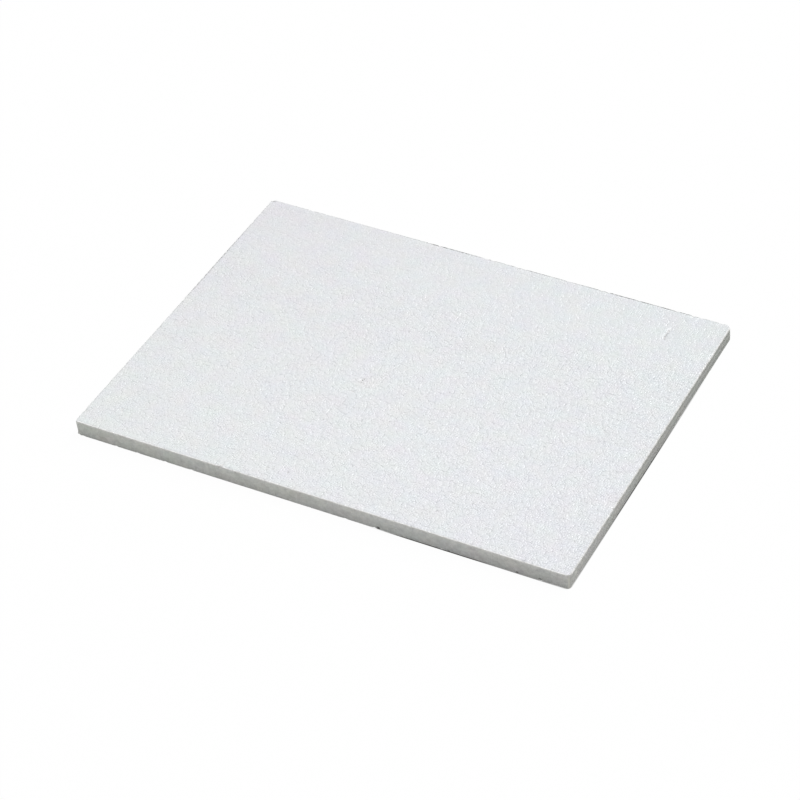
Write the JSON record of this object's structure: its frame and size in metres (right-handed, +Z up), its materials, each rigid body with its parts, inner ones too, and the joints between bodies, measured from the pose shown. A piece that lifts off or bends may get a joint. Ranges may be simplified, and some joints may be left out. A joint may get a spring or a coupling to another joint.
{
  "type": "foam block",
  "caption": "Thin rectangular slab of white bead foam, moulded in one piece, that cushions or raises what is laid on it.",
  "frame": {"origin": "middle of the underside, which is the face that the block rests on", "axes": "+X along the longer edges, +Y along the shorter edges, +Z up through the thickness"},
  "size_m": [0.32, 0.25, 0.01],
  "materials": {
    "bead_foam": "matt white expanded bead foam with a moulded skin"
  },
  "bodies": {
    "root": {"foam_block": "bead_foam"}
  },
  "joints": []
}
